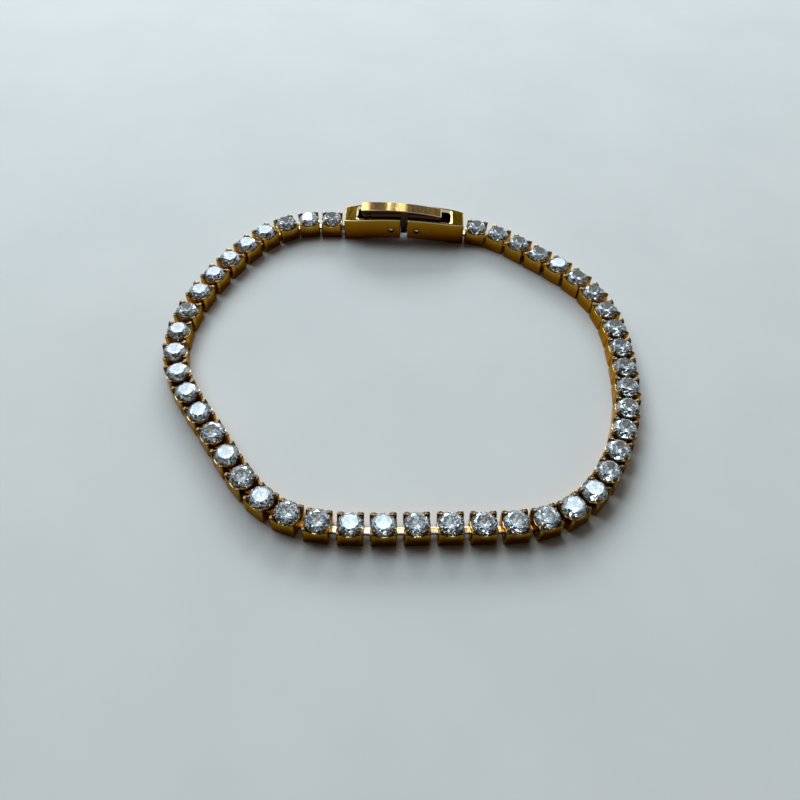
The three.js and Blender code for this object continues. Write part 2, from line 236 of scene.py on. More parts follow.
# %% [markdown]
# Finish and painted light go by place and by slope: a level top is brushed, shade is painted low
# on the walls, and a highlight is painted on level parts and on broken edges. The finishes could be
# painted face by face, but the cuts that make the shapes leave new faces in many places. So the
# material itself asks how high it is and how far up it faces, and every cut gets the right finish
# at once. Relief is kept to a fiftieth of a millimetre.

# %% Height, slope and relief
RELIEF = 0.02 * MM


def upright(tree, vector):
    """The Z part of a place or of a direction."""
    parts = add(tree, "ShaderNodeSeparateXYZ")
    feed(tree, vector, parts.inputs["Vector"])
    return parts.outputs["Z"]


def facing_up(tree):
    """How far the surface faces up: 1 where it lies level and 0 on walls."""
    return upright(tree, add(tree, "ShaderNodeNewGeometry").outputs["Normal"])


def level_part(tree):
    """1 where the surface lies level, 0 on walls and on broken edges."""
    return remap(tree, facing_up(tree), 0.88, 0.96)


def edge_part(tree):
    """1 on broken edges, which face half up, and 0 on walls and level parts."""
    up = facing_up(tree)
    return times(tree, remap(tree, up, 0.3, 0.45), remap(tree, up, 0.94, 0.97, 1.0, 0.0))


def raise_relief(tree, shader, pattern, strength):
    bump = add(tree, "ShaderNodeBump")
    feed(tree, RELIEF, bump.inputs["Distance"])
    feed(tree, strength, bump.inputs["Strength"])
    feed(tree, pattern, bump.inputs["Height"])
    feed(tree, bump.outputs["Normal"], shader.inputs["Normal"])


print("relief:", round(RELIEF / MM, 3), "mm deep")

# %% [markdown]
# Gold-coloured steel is a metal with a thin coat of titanium nitride, so its colour lives in its
# reflections. A flat colour would look like plastic. The colour here is deeper in soft clouds,
# where skin oil and polish gather. Shade is painted down the walls: the colour is deeper below the
# rim and redder near the foot of each piece, a painted shade for the shadowed floor that the walls
# mirror. The claws' tips are painted darker, a painted shade for the dark room that they mirror.
# Level parts are painted light, cream low down and golden on the rim, a painted highlight of the
# window above. The roughness wanders too, with fine wipe marks. A thin clear coat, thickest on the
# claws' tips, gives the cream glints that a bright window leaves. A metal turns white where it is
# seen edge on, and this coating stays warm there, so the edge-on colour is set as well.

# %% Gold
GOLD_LIGHT = (0.54, 0.275, 0.018, 1)
GOLD_DEEP = (0.33, 0.14, 0.008, 1)
# Painted shade: the redder tone at the foot of each piece.
GOLD_PAINTED_SHADE = (0.42, 0.14, 0.010, 1)
# Painted shade: the dark tone of the claws' tips.
CLAW_PAINTED_SHADE = (0.085, 0.045, 0.013, 1)
# Painted highlights: golden on level parts of the rim, cream lower down and on broken edges.
RIM_PAINTED_HIGHLIGHT = (0.55, 0.38, 0.13, 1)
GOLD_PAINTED_HIGHLIGHT = (0.78, 0.62, 0.36, 1)
RIVET_STEEL = (0.80, 0.70, 0.52, 1)
EDGE_TINT = (1.0, 0.75, 0.36, 1)
# Heights over which the painted shade fades: at the foot, below the rim, and onto the claws' tips.
FOOT_SHADE_HEIGHTS = (0.1 * MM, 1.2 * MM)
RIM = (0.9 * MM, 2.1 * MM)
TIPS = (2.2 * MM, 2.4 * MM)
TIP_COAT = 0.6
COAT_DULLNESS = 0.08
CLOUDS = 900
WIPES = 2600
WIPE_RELIEF = 0.1


def gold(name, light, deep, foot, tip, roughness, wander, coat):
    """Coated steel, light at the rim and deep in clouds; painted shade: redder foot, dark tips."""
    material, tree, shader = new_material(name)
    coordinates = add(tree, "ShaderNodeTexCoord")
    clouds = remap(tree, noise(tree, coordinates, CLOUDS), 0.35, 0.7, 0.0, 0.7)
    tone = blend_colours(tree, clouds, light, deep)
    height = upright(tree, coordinates.outputs["Object"])
    # Painted shade: deeper below the rim and redder towards the foot, for the shadowed floor
    # mirrored.
    middle = blend_colours(tree, remap(tree, height, *RIM, 1.0, 0.0), tone, deep)
    walls_painted_shade = blend_colours(tree, remap(tree, height, *FOOT_SHADE_HEIGHTS, 1.0, 0.0), middle, foot)
    # Painted highlight: level parts are cream low down and golden on the rim.
    level_painted_highlight = blend_colours(tree, remap(tree, height, *RIM), GOLD_PAINTED_HIGHLIGHT, RIM_PAINTED_HIGHLIGHT)
    with_painted_highlight = blend_colours(tree, level_part(tree), walls_painted_shade, level_painted_highlight)
    # Painted shade: the claws' tips are darker, for the dark room that they mirror.
    tips_painted_shade = blend_colours(tree, remap(tree, height, *TIPS), with_painted_highlight, tip)
    wipes = noise(tree, coordinates, WIPES, 4.0, (1, 1, 0.25))
    dullness = remap(tree, wipes, 0.3, 0.7, roughness - wander, roughness + wander)
    raise_relief(tree, shader, wipes, WIPE_RELIEF)
    feed(tree, tips_painted_shade, shader.inputs["Base Color"])
    feed(tree, dullness, shader.inputs["Roughness"])
    feed(tree, remap(tree, height, *TIPS, coat, TIP_COAT), shader.inputs["Coat Weight"])
    feed(tree, COAT_DULLNESS, shader.inputs["Coat Roughness"])
    feed(tree, 1, shader.inputs["Metallic"])
    feed(tree, EDGE_TINT, shader.inputs["Specular Tint"])
    return material


polished_gold = gold("polished_gold", GOLD_LIGHT, GOLD_DEEP, GOLD_PAINTED_SHADE, CLAW_PAINTED_SHADE,
                     roughness=0.16, wander=0.06, coat=0.08)
rivet_gold = gold("rivet_gold", RIVET_STEEL, RIVET_STEEL, RIVET_STEEL, RIVET_STEEL,
                  roughness=0.15, wander=0.04, coat=0.5)
# Painted shade: the leaves inside the clasp take only the deep and shaded tones.
inner_gold = gold("inner_gold", GOLD_DEEP, GOLD_PAINTED_SHADE, GOLD_PAINTED_SHADE, GOLD_PAINTED_SHADE,
                  roughness=0.38, wander=0.08, coat=0.1)
print("gold:", ", ".join(m.name for m in (polished_gold, rivet_gold, inner_gold)))

# %% [markdown]
# The clasp's covers have two finishes. Their walls are polished like the settings, and shade is
# painted on them: they are darker towards the foot, for the shadowed floor that they mirror. Their
# tops were drawn over a belt, so they are dull, with fine lines across and tiny pits that glint,
# and their tone is painted dark as a painted shade. Both live in one material: the upright part of
# the surface's own direction says which finish shows. A noise stretched thin along one axis draws
# the lines, and they work in the roughness and the relief as well as in the colour, so that they
# live in the light and not only in the paint. Broken edges are painted cream, a painted highlight.
# The bridge has the same two finishes with other values: its top is bright, and its flanks are
# painted a deep red brown, a painted shade.

# %% Brushed gold
LINES = (6500, 500, 500)
PITS = 5000
PIT_DEPTH = 0.9
WALL_SHADE_HEIGHTS = (0.6 * MM, 3.6 * MM)
# Wall tones: light at the top, darker at the foot as a painted shade.
COVER_WALL_PAINTED_SHADE = ((0.45, 0.21, 0.008, 1), (0.24, 0.05, 0.002, 1))
# The tops' line tones, painted dark as a painted shade.
COVER_TOP_PAINTED_DARK = ((0.06, 0.031, 0.010, 1), (0.002, 0.001, 0.0004, 1))
# The bridge's flanks: a deep red brown, painted shade.
STRIP_WALL_PAINTED_SHADE = ((0.06, 0.018, 0.004, 1), (0.04, 0.009, 0.002, 1))
STRIP_TOP = ((0.34, 0.20, 0.055, 1), (0.14, 0.065, 0.01, 1))
WALL_ROUGHNESS = 0.2
CLASP_COAT_DULLNESS = 0.1


def drawn_lines(tree, coordinates, turn):
    """Fine lines across the clasp, which is turned by the given angle."""
    turned = add(tree, "ShaderNodeMapping")
    feed(tree, (0, 0, -turn), turned.inputs["Rotation"])
    feed(tree, LINES, turned.inputs["Scale"])
    feed(tree, coordinates.outputs["Object"], turned.inputs["Vector"])
    lines = add(tree, "ShaderNodeTexNoise")
    feed(tree, 1, lines.inputs["Scale"])
    feed(tree, 3, lines.inputs["Detail"])
    feed(tree, turned.outputs["Vector"], lines.inputs["Vector"])
    return lines.outputs["Fac"]


def brushed(name, turn, wall_painted_shade_tones, top_tones, top_roughness, relief, coat):
    """Two finishes: plain polish on the walls, drawn lines and pits on level parts."""
    material, tree, shader = new_material(name)
    coordinates = add(tree, "ShaderNodeTexCoord")
    level = level_part(tree)
    lines = drawn_lines(tree, coordinates, turn)
    pits = remap(tree, noise(tree, coordinates, PITS, 2.0), 0.42, 0.56, 0.0, PIT_DEPTH)
    lined = blend_colours(tree, remap(tree, lines, 0.38, 0.62), top_tones[1], top_tones[0])
    speckled = blend_colours(tree, pits, lined, top_tones[1])
    # Painted shade: the walls darken towards the foot.
    low = remap(tree, upright(tree, coordinates.outputs["Object"]), *WALL_SHADE_HEIGHTS, 1.0, 0.0)
    wall = blend_colours(tree, low, *wall_painted_shade_tones)
    finished = blend_colours(tree, level, wall, speckled)
    # Painted highlight: broken edges are painted cream.
    edge_painted_highlight = blend_colours(tree, edge_part(tree), finished, GOLD_PAINTED_HIGHLIGHT)
    dullness = remap(tree, level, 0.0, 1.0, WALL_ROUGHNESS, top_roughness)
    raise_relief(tree, shader, lines, remap(tree, level, 0.0, 1.0, 0.0, relief))
    feed(tree, edge_painted_highlight, shader.inputs["Base Color"])
    feed(tree, dullness, shader.inputs["Roughness"])
    feed(tree, coat, shader.inputs["Coat Weight"])
    feed(tree, CLASP_COAT_DULLNESS, shader.inputs["Coat Roughness"])
    feed(tree, 1, shader.inputs["Metallic"])
    feed(tree, EDGE_TINT, shader.inputs["Specular Tint"])
    return material


print("brushed gold:", LINES[0], "lines a metre")

# %% [markdown]
# The stones are cubic zirconia: as clear as glass, but bending light far more, which is what makes
# them throw back light from below. The sparkle could be painted on, but it would not change with
# the view. A plain glass with the right index does it by itself once the facets are true. A breath
# of haze in soft patches is the wear of a surface that is never quite clean.

# %% Clear stone
STONE_INDEX = 2.16
STONE_TINT = (0.99, 0.99, 0.97, 1)
STONE_CLARITY = 0.96
HAZE = 0.03
HAZE_CLOUDS = 1500


def clear_stone():
    material, tree, shader = new_material("clear_stone")
    coordinates = add(tree, "ShaderNodeTexCoord")
    haze = remap(tree, noise(tree, coordinates, HAZE_CLOUDS), 0.3, 0.7, 0.0, HAZE)
    feed(tree, haze, shader.inputs["Roughness"])
    feed(tree, STONE_TINT, shader.inputs["Base Color"])
    feed(tree, STONE_CLARITY, shader.inputs["Transmission Weight"])
    feed(tree, STONE_INDEX, shader.inputs["IOR"])
    return material


stone_glass = clear_stone()
print("stone: index", STONE_INDEX)

# %% [markdown]
# Each link's place is read from its CAD node. The table of the stone is the highest flat of the
# node, so its middle is the link's middle, and the head of the tongue is the farthest thing from
# it, so it shows which way the link points. The clasp is read off its two rivets in the same way.

# %% Where the frame has the links and the clasp
HEAD_DISTANCE = 3.0 * MM
LEVEL = 0.01 * MM


def points_of(node):
    """The corners of a CAD node, each of them once."""
    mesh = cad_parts[node].data
    points = np.zeros(len(mesh.vertices) * 3)
    mesh.vertices.foreach_get("co", points)
    return np.unique(points.reshape(-1, 3).round(7), axis=0)


def link_place(node):
    """The middle of a link on the floor, with X along the chain."""
    points = points_of(node)
    middle = points[points[:, 2] > points[:, 2].max() - LEVEL].mean(axis=0)
    reach = np.hypot(*(points - middle)[:, :2].T)
    heading = points[reach > HEAD_DISTANCE].mean(axis=0) - middle
    turn = math.atan2(heading[1], heading[0])
    return Matrix.Translation((middle[0], middle[1], 0)) @ Matrix.Rotation(turn, 4, "Z")


def clasp_place():
    """The middle between the two rivets on the floor, with X from the right one to the left."""
    left, right = (sum(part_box(f"clasp_rivet_{side}"), Vector()) / 2 for side in ("left", "right"))
    heading = left - right
    middle = (left + right) / 2
    turn = math.atan2(heading.y, heading.x)
    return Matrix.Translation((middle.x, middle.y, 0)) @ Matrix.Rotation(turn, 4, "Z")


LINKS = sorted(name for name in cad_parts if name.startswith("link_"))
LINK_PLACES = {name: link_place(name) @ Matrix.Scale(MM, 4) for name in LINKS}
CLASP_PLACE = clasp_place() @ Matrix.Scale(MM, 4)
CLASP_TURN = CLASP_PLACE.to_euler().z
brushed_gold = brushed("brushed_gold", CLASP_TURN, COVER_WALL_PAINTED_SHADE, COVER_TOP_PAINTED_DARK,
                       top_roughness=0.42, relief=0.5, coat=0.02)
strip_gold = brushed("strip_gold", CLASP_TURN, STRIP_WALL_PAINTED_SHADE, STRIP_TOP,
                     top_roughness=0.09, relief=0.03, coat=0.35)
print("links:", len(LINKS), "clasp turned", round(math.degrees(CLASP_TURN), 1), "degrees")

# %% [markdown]
# A setting is a short square tube with rounded corners. Between its corners the rim dips, so that
# light reaches the stone, and the corners grow into four claws. The tube could be hollowed with a
# Boolean, but its rim would then have too few points to dip. So it starts as a cube with its
# upright edges rolled round. Its caps are taken off, its sides are cut into strips that the dip
# can follow, and a smaller copy turned inside out becomes the inner wall, bridged to the outer
# one.

# %% Setting tube
SETTING_LENGTH = 3.05
SETTING_WIDTH = 3.1
SETTING_WALL = 0.35
CORNER = 0.32
GIRDLE = 2.25
RIM_LOW = 1.95
RIM_HIGH = 2.45
DIP_START = 0.35
DIP_END = 1.25
SIDE_STRIPS = 14
CORNER_STEPS = 5
CORNER_ANGLE = math.radians(50)
LIP_ROUND = 0.05
LIP_STEPS = 2
FLAT = 1e-4


def lies_at(element, height):
    """True for an edge or a face whose corners are all at the given height."""
    return all(abs(v.co.z - height) < FLAT for v in element.verts)


def corners(bm):
    """The edges where two faces meet in a real corner, and not in a step of a curve."""
    return [e for e in bm.edges if e.calc_face_angle(0) > CORNER_ANGLE]


def whole(bm):
    return bm.verts[:] + bm.edges[:] + bm.faces[:]


def rim_height(x, y):
    """The rim is low in the middle of a side and sweeps up to the claws."""
    off_middle = min(abs(x), abs(y))
    share = min(max((off_middle - DIP_START) / (DIP_END - DIP_START), 0), 1)
    smooth = share * share * (3 - 2 * share)
    return RIM_LOW + (RIM_HIGH - RIM_LOW) * smooth


def tube_walls(bm):
    """The outer wall as strips, and a scaled copy inside it, joined along the rim and the foot."""
    wide = [e for e in bm.edges if not along(e, 2) and e.calc_length() > CORNER]
    bmesh.ops.subdivide_edges(bm, edges=wide, cuts=SIDE_STRIPS - 1)
    copy = bmesh.ops.duplicate(bm, geom=whole(bm))["geom"]
    inner_faces = [g for g in copy if isinstance(g, bmesh.types.BMFace)]
    inner_verts = [g for g in copy if isinstance(g, bmesh.types.BMVert)]
    shrink = (1 - 2 * SETTING_WALL / SETTING_LENGTH, 1 - 2 * SETTING_WALL / SETTING_WIDTH, 1)
    bmesh.ops.scale(bm, vec=shrink, verts=inner_verts)
    bmesh.ops.reverse_faces(bm, faces=inner_faces)
    rims = [e for e in bm.edges if e.is_boundary]
    for level in (0, GIRDLE):
        bmesh.ops.bridge_loops(bm, edges=[e for e in rims if lies_at(e, level)])


def setting_tube():
    half_length, half_width = SETTING_LENGTH / 2, SETTING_WIDTH / 2
    bm = box(-half_length, half_length, -half_width, half_width, 0, GIRDLE)
    round_edges(bm, [e for e in bm.edges if along(e, 2)], CORNER, CORNER_STEPS)
    caps = [f for f in bm.faces if lies_at(f, 0) or lies_at(f, GIRDLE)]
    bmesh.ops.delete(bm, geom=caps, context="FACES")
    tube_walls(bm)
    for vert in bm.verts:
        if abs(vert.co.z - GIRDLE) < FLAT:
            outward = max(abs(vert.co.x) / half_length, abs(vert.co.y) / half_width)
            vert.co.z = rim_height(vert.co.x / outward, vert.co.y / outward)
    bmesh.ops.recalc_face_normals(bm, faces=bm.faces)
    round_edges(bm, [e for e in corners(bm) if not along(e, 2)], LIP_ROUND, LIP_STEPS)
    return bm


print("tube:", SETTING_LENGTH, "by", SETTING_WIDTH, "mm, wall", SETTING_WALL)

# %% [markdown]
# A claw is a round bar with a domed head that leans over the stone's edge. A rod with a ball on it
# would show a seam. So one half of its outline is spun round its own axis, which closes it at both
# ends, and then its upper half is pushed inward, more the higher it is. The other three corners
# get the same bar, leaning their own way.

# %% Claws
CLAW_RADIUS = 0.26
CLAW_FOOT = 1.1
CLAW_TOP = 2.62
CLAW_LEAN = 0.24
CLAW_SIDES = 16
CLAW_ROOT = 0.16
CLAW_SWELL = 0.6
DOME_STEPS = 6


def spun(profile, sides, place):
    """Spins an outline of (radius, height) pairs into a closed round shape about a place."""
    bm = bmesh.new()
    verts = [bm.verts.new((place[0] + r, place[1], z)) for r, z in profile]
    edges = [bm.edges.new(pair) for pair in zip(verts, verts[1:])]
    bmesh.ops.spin(bm, geom=verts + edges, cent=(place[0], place[1], 0), axis=(0, 0, 1),
                   angle=2 * math.pi, steps=sides, use_merge=True)
    bmesh.ops.remove_doubles(bm, verts=bm.verts, dist=2 * WELD)
    bmesh.ops.recalc_face_normals(bm, faces=bm.faces)
    return bm


def claw(side_x, side_y):
    """The claw of one corner, which its two signs name."""
    shoulder = CLAW_TOP - CLAW_RADIUS
    dome = [(CLAW_RADIUS * math.cos(a), shoulder + CLAW_RADIUS * math.sin(a))
            for a in np.linspace(0, math.pi / 2, DOME_STEPS)]
    root = [(0, CLAW_FOOT), (CLAW_ROOT, CLAW_FOOT), (CLAW_RADIUS, CLAW_FOOT + CLAW_SWELL)]
    place = (side_x * (SETTING_LENGTH / 2 - CORNER), side_y * (SETTING_WIDTH / 2 - CORNER))
    bm = spun(root + dome, CLAW_SIDES, place)
    for vert in bm.verts:
        share = max(vert.co.z - RIM_LOW, 0) / (CLAW_TOP - RIM_LOW)
        vert.co.x -= side_x * CLAW_LEAN * share * share
        vert.co.y -= side_y * CLAW_LEAN * share * share
    return bm


print("claws: 4 to a setting,", CLAW_TOP, "mm high")

# %% [markdown]
# The chain hangs together by tongues. Each setting has a T-shaped tongue on one side and a window
# on the other, and the cross head, once inside its neighbour, can't come out again. A plain ring
# would join them too, but the frame has the tongue, as the pressed original does. It is one flat
# bar with a wider bar across its end, and its edges are rubbed round as pressed metal is.

# %% Tongue and window
TONGUE_WIDTH = 0.9
TONGUE_LOW = 0.45
TONGUE_HIGH = 0.8
TONGUE_REACH = 1.5835
HEAD_WIDTH = 1.7
HEAD_THICKNESS = 0.35
WINDOW_WIDTH = 1.3
WINDOW_LOW = 0.2
WINDOW_HIGH = 1.05
TONGUE_ROUND = 0.1
HEAD_ROUND = 0.09
OVERLAP = 0.1
THROUGH = 0.5


def tongue(face):
    """The T-shaped tongue of a wall whose outer face is at the given x."""
    half = TONGUE_WIDTH / 2
    near = face + TONGUE_REACH
    bar = box(face - SETTING_WALL / 2, near + OVERLAP, -half, half, TONGUE_LOW, TONGUE_HIGH)
    round_edges(bar, [e for e in bar.edges if along(e, 0)], TONGUE_ROUND)
    half = HEAD_WIDTH / 2
    head = box(near, near + HEAD_THICKNESS, -half, half, TONGUE_LOW, TONGUE_HIGH)
    round_edges(head, head.edges[:], HEAD_ROUND)
    return fused(bar, head, "UNION")


def window(face):
    """The block that cuts the window in the wall at the far end, whose face is at minus x."""
    half = WINDOW_WIDTH / 2
    inside = SETTING_WALL + OVERLAP / 2 - face
    return box(-face - 2 * THROUGH, inside, -half, half, WINDOW_LOW, WINDOW_HIGH)


def setting():
    body = setting_tube()
    for side_x in (1, -1):
        for side_y in (1, -1):
            body = fused(body, claw(side_x, side_y), "UNION")
    body = fused(body, window(SETTING_LENGTH / 2), "DIFFERENCE")
    body = fused(body, tongue(SETTING_LENGTH / 2), "UNION")
    shade(body)
    return mesh_of(body, "setting")


setting_mesh = setting()
print("setting:", len(setting_mesh.polygons), "faces")

# %% [markdown]
# A brilliant is cut, not moulded. Its corners could be typed in one by one, but it is made here
# the way it is cut, because that can't leave a gap or a bent facet. A round blank is held up to
# one flat plane after another, and whatever lies outside the plane is taken off. Three points fix
# each facet: the standard cut says where on the table, the girdle and the culet they are, and the
# rest follows by going round in steps of an eighth or a sixteenth of a turn.

# %% Brilliant
STONE_RADIUS = 1.52
TABLE_RADIUS = 0.95
TABLE_HEIGHT = 2.80
GIRDLE_HALF = 0.035
CULET_HEIGHT = 0.93
STAR_REACH = 1.23
LOWER_HALF_REACH = 0.36
BLANK_SIDES = 64
EIGHTH = math.pi / 4
FINE = 1e-5


def on_circle(radius, angle, height):
    return Vector((radius * math.cos(angle), radius * math.sin(angle), height))


def cut_facet(bm, a, b, c):
    """Takes off what lies outside the plane through three points of the stone's surface."""
    normal = (b - a).cross(c - a).normalized()
    if normal.dot(a - Vector((0, 0, GIRDLE))) < 0:
        normal.negate()
    cut = bmesh.ops.bisect_plane(bm, geom=whole(bm), dist=FINE, plane_co=a, plane_no=normal,
                                 clear_outer=True)
    edges = [g for g in cut["geom_cut"] if isinstance(g, bmesh.types.BMEdge)]
    if edges:
        bmesh.ops.contextual_create(bm, geom=edges)


def brilliant():
    """A standard brilliant: the crown's main, star and upper facets, and the two kinds below."""
    crown = GIRDLE + GIRDLE_HALF
    waist = GIRDLE - GIRDLE_HALF
    bm = bmesh.new()
    blank = Matrix.Translation((0, 0, (TABLE_HEIGHT + CULET_HEIGHT) / 2))
    bmesh.ops.create_cone(bm, cap_ends=True, segments=BLANK_SIDES, radius1=STONE_RADIUS,
                          radius2=STONE_RADIUS, depth=TABLE_HEIGHT - CULET_HEIGHT, matrix=blank)
    star_share = (STONE_RADIUS - STAR_REACH * math.cos(EIGHTH / 2)) / (STONE_RADIUS - TABLE_RADIUS)
    star_height = crown + star_share * (TABLE_HEIGHT - crown)
    lower_share = LOWER_HALF_REACH * math.cos(EIGHTH / 2) / STONE_RADIUS
    lower_height = CULET_HEIGHT + lower_share * (waist - CULET_HEIGHT)
    for k in range(8):
        here, half, following = k * EIGHTH, (k + 0.5) * EIGHTH, (k + 1) * EIGHTH
        corner = on_circle(TABLE_RADIUS, here, TABLE_HEIGHT)
        next_corner = on_circle(TABLE_RADIUS, following, TABLE_HEIGHT)
        star_tip = on_circle(STAR_REACH, half, star_height)
        before_tip = on_circle(STAR_REACH, here - EIGHTH / 2, star_height)
        lower_tip = on_circle(LOWER_HALF_REACH, half, lower_height)
        before_lower = on_circle(LOWER_HALF_REACH, here - EIGHTH / 2, lower_height)
        cut_facet(bm, corner, star_tip, before_tip)
        cut_facet(bm, corner, next_corner, star_tip)
        cut_facet(bm, Vector((0, 0, CULET_HEIGHT)), lower_tip, before_lower)
        for start in (here, following):
            top_edge = on_circle(STONE_RADIUS, start, crown)
            cut_facet(bm, star_tip, top_edge, on_circle(STONE_RADIUS, half, crown))
            low_edge = on_circle(STONE_RADIUS, start, waist)
            cut_facet(bm, lower_tip, low_edge, on_circle(STONE_RADIUS, half, waist))
    return mesh_of(bm, "brilliant")


brilliant_mesh = brilliant()
print("brilliant:", len(brilliant_mesh.polygons), "faces")

# %% [markdown]
# Every stone is set by hand and sits a little off level, which is why a row of them never flashes
# all at once. Most lean by less than a degree. A few lean more, back or forward, so that their
# tables look past the window and stay grey while their neighbours mirror it. The small leans come
# from the stone's number, so that they are the same each time the scene is made.

# %% Set the stones
LEAN = math.radians(0.5)
BACK_LEAN = {3: -2.5, 9: -6.0, 15: 8.5, 17: 7.0, 19: 5.5, 20: 5.5, 23: 3.5, 24: 2.0, 27: 2.5,
             42: -2.0}
STEADY_STONES = (28, 29, 41)
LEAN_STEP = 137.5
SPIN_STEP = 53
FACET_TURN = 45
SEAT = Vector((0, 0, GIRDLE))


def stone_lean(number):
    """A turn about the stone's seat: the listed lean, or else a small one of its own."""
    if number in BACK_LEAN:
        return Matrix.Rotation(math.radians(BACK_LEAN[number]), 4, "X")
    if number in STEADY_STONES:
        return Matrix.Identity(4)
    aim = math.radians(LEAN_STEP * number)
    return Matrix.Rotation(LEAN, 4, Vector((math.cos(aim), math.sin(aim), 0)))


def stone_place(number, place):
    """The stone's place: its seat in the link, its lean, and a turn of its facets that varies."""
    seat = Matrix.Translation(place @ SEAT)
    spin = Matrix.Rotation(math.radians((number * SPIN_STEP) % FACET_TURN), 4, "Z")
    return seat @ stone_lean(number) @ spin @ Matrix.Scale(MM, 4) @ Matrix.Translation(-SEAT)


def set_links():
    """Puts a setting and a stone in the place of every link."""
    for number, name in enumerate(LINKS, start=1):
        place = LINK_PLACES[name]
        metal = setting_mesh.copy()
        metal.transform(place)
        show(f"setting_{number:02d}", metal, polished_gold, "polished_gold", name)
        stone = brilliant_mesh.copy()
        stone.transform(stone_place(number, place))
        show(f"stone_{number:02d}", stone, stone_glass, "clear_stone", name)


set_links()
print("set:", len(LINKS), "links")

# %% [markdown]
# The clasp is a butterfly clasp seen closed. Two arched covers meet in the middle and are hollowed
# into a long pocket. A bridge spans the pocket, and two leaves inside join it to the covers, so
# that it all folds open like a knee. A cover could be drawn curved at once, but it is built flat
# and bent at the end: flat, its walls and its pocket are plain straight cuts, and the bend then
# carries them all along.

# %% Clasp measures
CLASP_END = 8.95
CLASP_RISE = 0.75
CENTRE_GAP = 1.05
COVER_HALF = 1.95
COVER_HEIGHT = 3.3
RIVET_X = CENTRE_GAP / 2 + 1.4
RIVET_HEIGHT = 1.5
BEND_CUTS = 28
BAR_SIDES = 24
SIDES = ((1, "left"), (-1, "right"))


def rise(x):
    """The height of the clasp's arch over the floor."""
    return CLASP_RISE * (1 - (x / CLASP_END) ** 2)


def rivet_place(side):
    return side * RIVET_X, rise(RIVET_X) + RIVET_HEIGHT


def slice_at(bm, x):
    """Draws a ring of edges round the shape where it crosses the given x."""
    bmesh.ops.bisect_plane(bm, geom=whole(bm), dist=FLAT, plane_co=(x, 0, 0), plane_no=(1, 0, 0))


def bend(bm, start, end):
    """Cuts the shape into slices along the clasp and lifts each one onto the clasp's arch."""
    for x in np.linspace(start, end, BEND_CUTS + 1)[1:-1]:
        slice_at(bm, x)
    for vert in bm.verts:
        vert.co.z += rise(vert.co.x)


def across(x, z):
    """Lays an upright bar across the clasp at the given place."""
    return Matrix.Translation((x, 0, z)) @ Matrix.Rotation(math.pi / 2, 4, "X")


def bar_across(x, z, radius, half):
    """A plain round bar across the clasp."""
    bm = bmesh.new()
    bmesh.ops.create_cone(bm, cap_ends=True, segments=BAR_SIDES, radius1=radius, radius2=radius,
                          depth=2 * half, matrix=across(x, z))
    return bm


def on_clasp(bm, name, sharp_angle=SHARP_ANGLE):
    """A finished part of the clasp, shaded and laid in its place."""
    shade(bm, sharp_angle)
    mesh = mesh_of(bm, name)
    mesh.transform(CLASP_PLACE)
    return mesh


print("clasp:", 2 * CLASP_END, "mm long")

# %% [markdown]
# A cover's plan is a rectangle whose chain end narrows in a soft curve. An outline could be drawn
# and raised, but a block is quicker to round all over: it is sliced near that end, and each slice
# is drawn in by a cosine. The pocket's ends are square with small round corners. Its rim is broken
# by a shallow tray with sloped sides, wider than the pocket, so that the slope catches the light
# as a bright line, which the brushed gold also paints on as a cream painted highlight.

# %% Cover and pocket
COVER_END_HALF = 1.65
COVER_TAPER = 2.2
TAPER_CUTS = 8
EDGE_BREAK = 0.13
POCKET_HALF = 1.175
POCKET_END = 6.95
POCKET_CORNER = 0.35
POCKET_STEPS = 4
PAST_MIDDLE = 1.0
RIM_DEPTH = 0.2
END_RIM_WIDTH = 0.28
SIDE_RIM_WIDTH = 0.4


def narrowing(x):
    """The share of its width that a cover keeps at a distance from the clasp's middle."""
    share = min(max((abs(x) - (CLASP_END - COVER_TAPER)) / COVER_TAPER, 0), 1)
    return 1 - (1 - COVER_END_HALF / COVER_HALF) * (1 - math.cos(share * math.pi / 2))


def cover_block(side):
    start, end = sorted((side * CENTRE_GAP / 2, side * CLASP_END))
    bm = box(start, end, -COVER_HALF, COVER_HALF, 0, COVER_HEIGHT)
    for x in np.linspace(CLASP_END - COVER_TAPER, CLASP_END, TAPER_CUTS + 1)[:-1]:
        slice_at(bm, side * x)
    for vert in bm.verts:
        vert.co.y *= narrowing(vert.co.x)
    bmesh.ops.recalc_face_normals(bm, faces=bm.faces)
    round_edges(bm, corners(bm), EDGE_BREAK)
    return bm


def pocket(side, low, high):
    """The block that cuts the pocket between two heights, and the x of its two ends."""
    start, end = sorted((-side * PAST_MIDDLE, side * POCKET_END))
    bm = box(start, end, -POCKET_HALF, POCKET_HALF, low, high)
    round_edges(bm, [e for e in bm.edges if along(e, 2)], POCKET_CORNER, POCKET_STEPS)
    return bm, start, end


def pocket_chamfer(side):
    """A shallow tray wider than the pocket, whose sloped sides cut its rim."""
    bm, start, end = pocket(side, COVER_HEIGHT - RIM_DEPTH, COVER_HEIGHT + RIM_DEPTH)
    middle = (start + end) / 2
    half = (end - start) / 2
    for vert in bm.verts:
        if vert.co.z > COVER_HEIGHT:
            vert.co.x = middle + (vert.co.x - middle) * (1 + 2 * END_RIM_WIDTH / half)
            vert.co.y *= 1 + 2 * SIDE_RIM_WIDTH / POCKET_HALF
    return bm


print("pocket:", 2 * POCKET_HALF, "mm wide")

# %% [markdown]
# The chain hooks into the covers as its links hook into each other: the left one ends in a tongue,
# and the right one has a window with a hollow behind it. They could be shaped anew, but the arch
# starts from nothing at the ends, so the link's own tongue and window fit there as they are. The
# hole for the rivet is drilled after the bend, because a drill goes straight.

# %% Covers
COVER_FLOOR = 0.7
HOLLOW_LENGTH = 1.3
HOLLOW_HALF = 1.2
RIVET_BORE = 1.0
CRISP_ANGLE = math.radians(14)


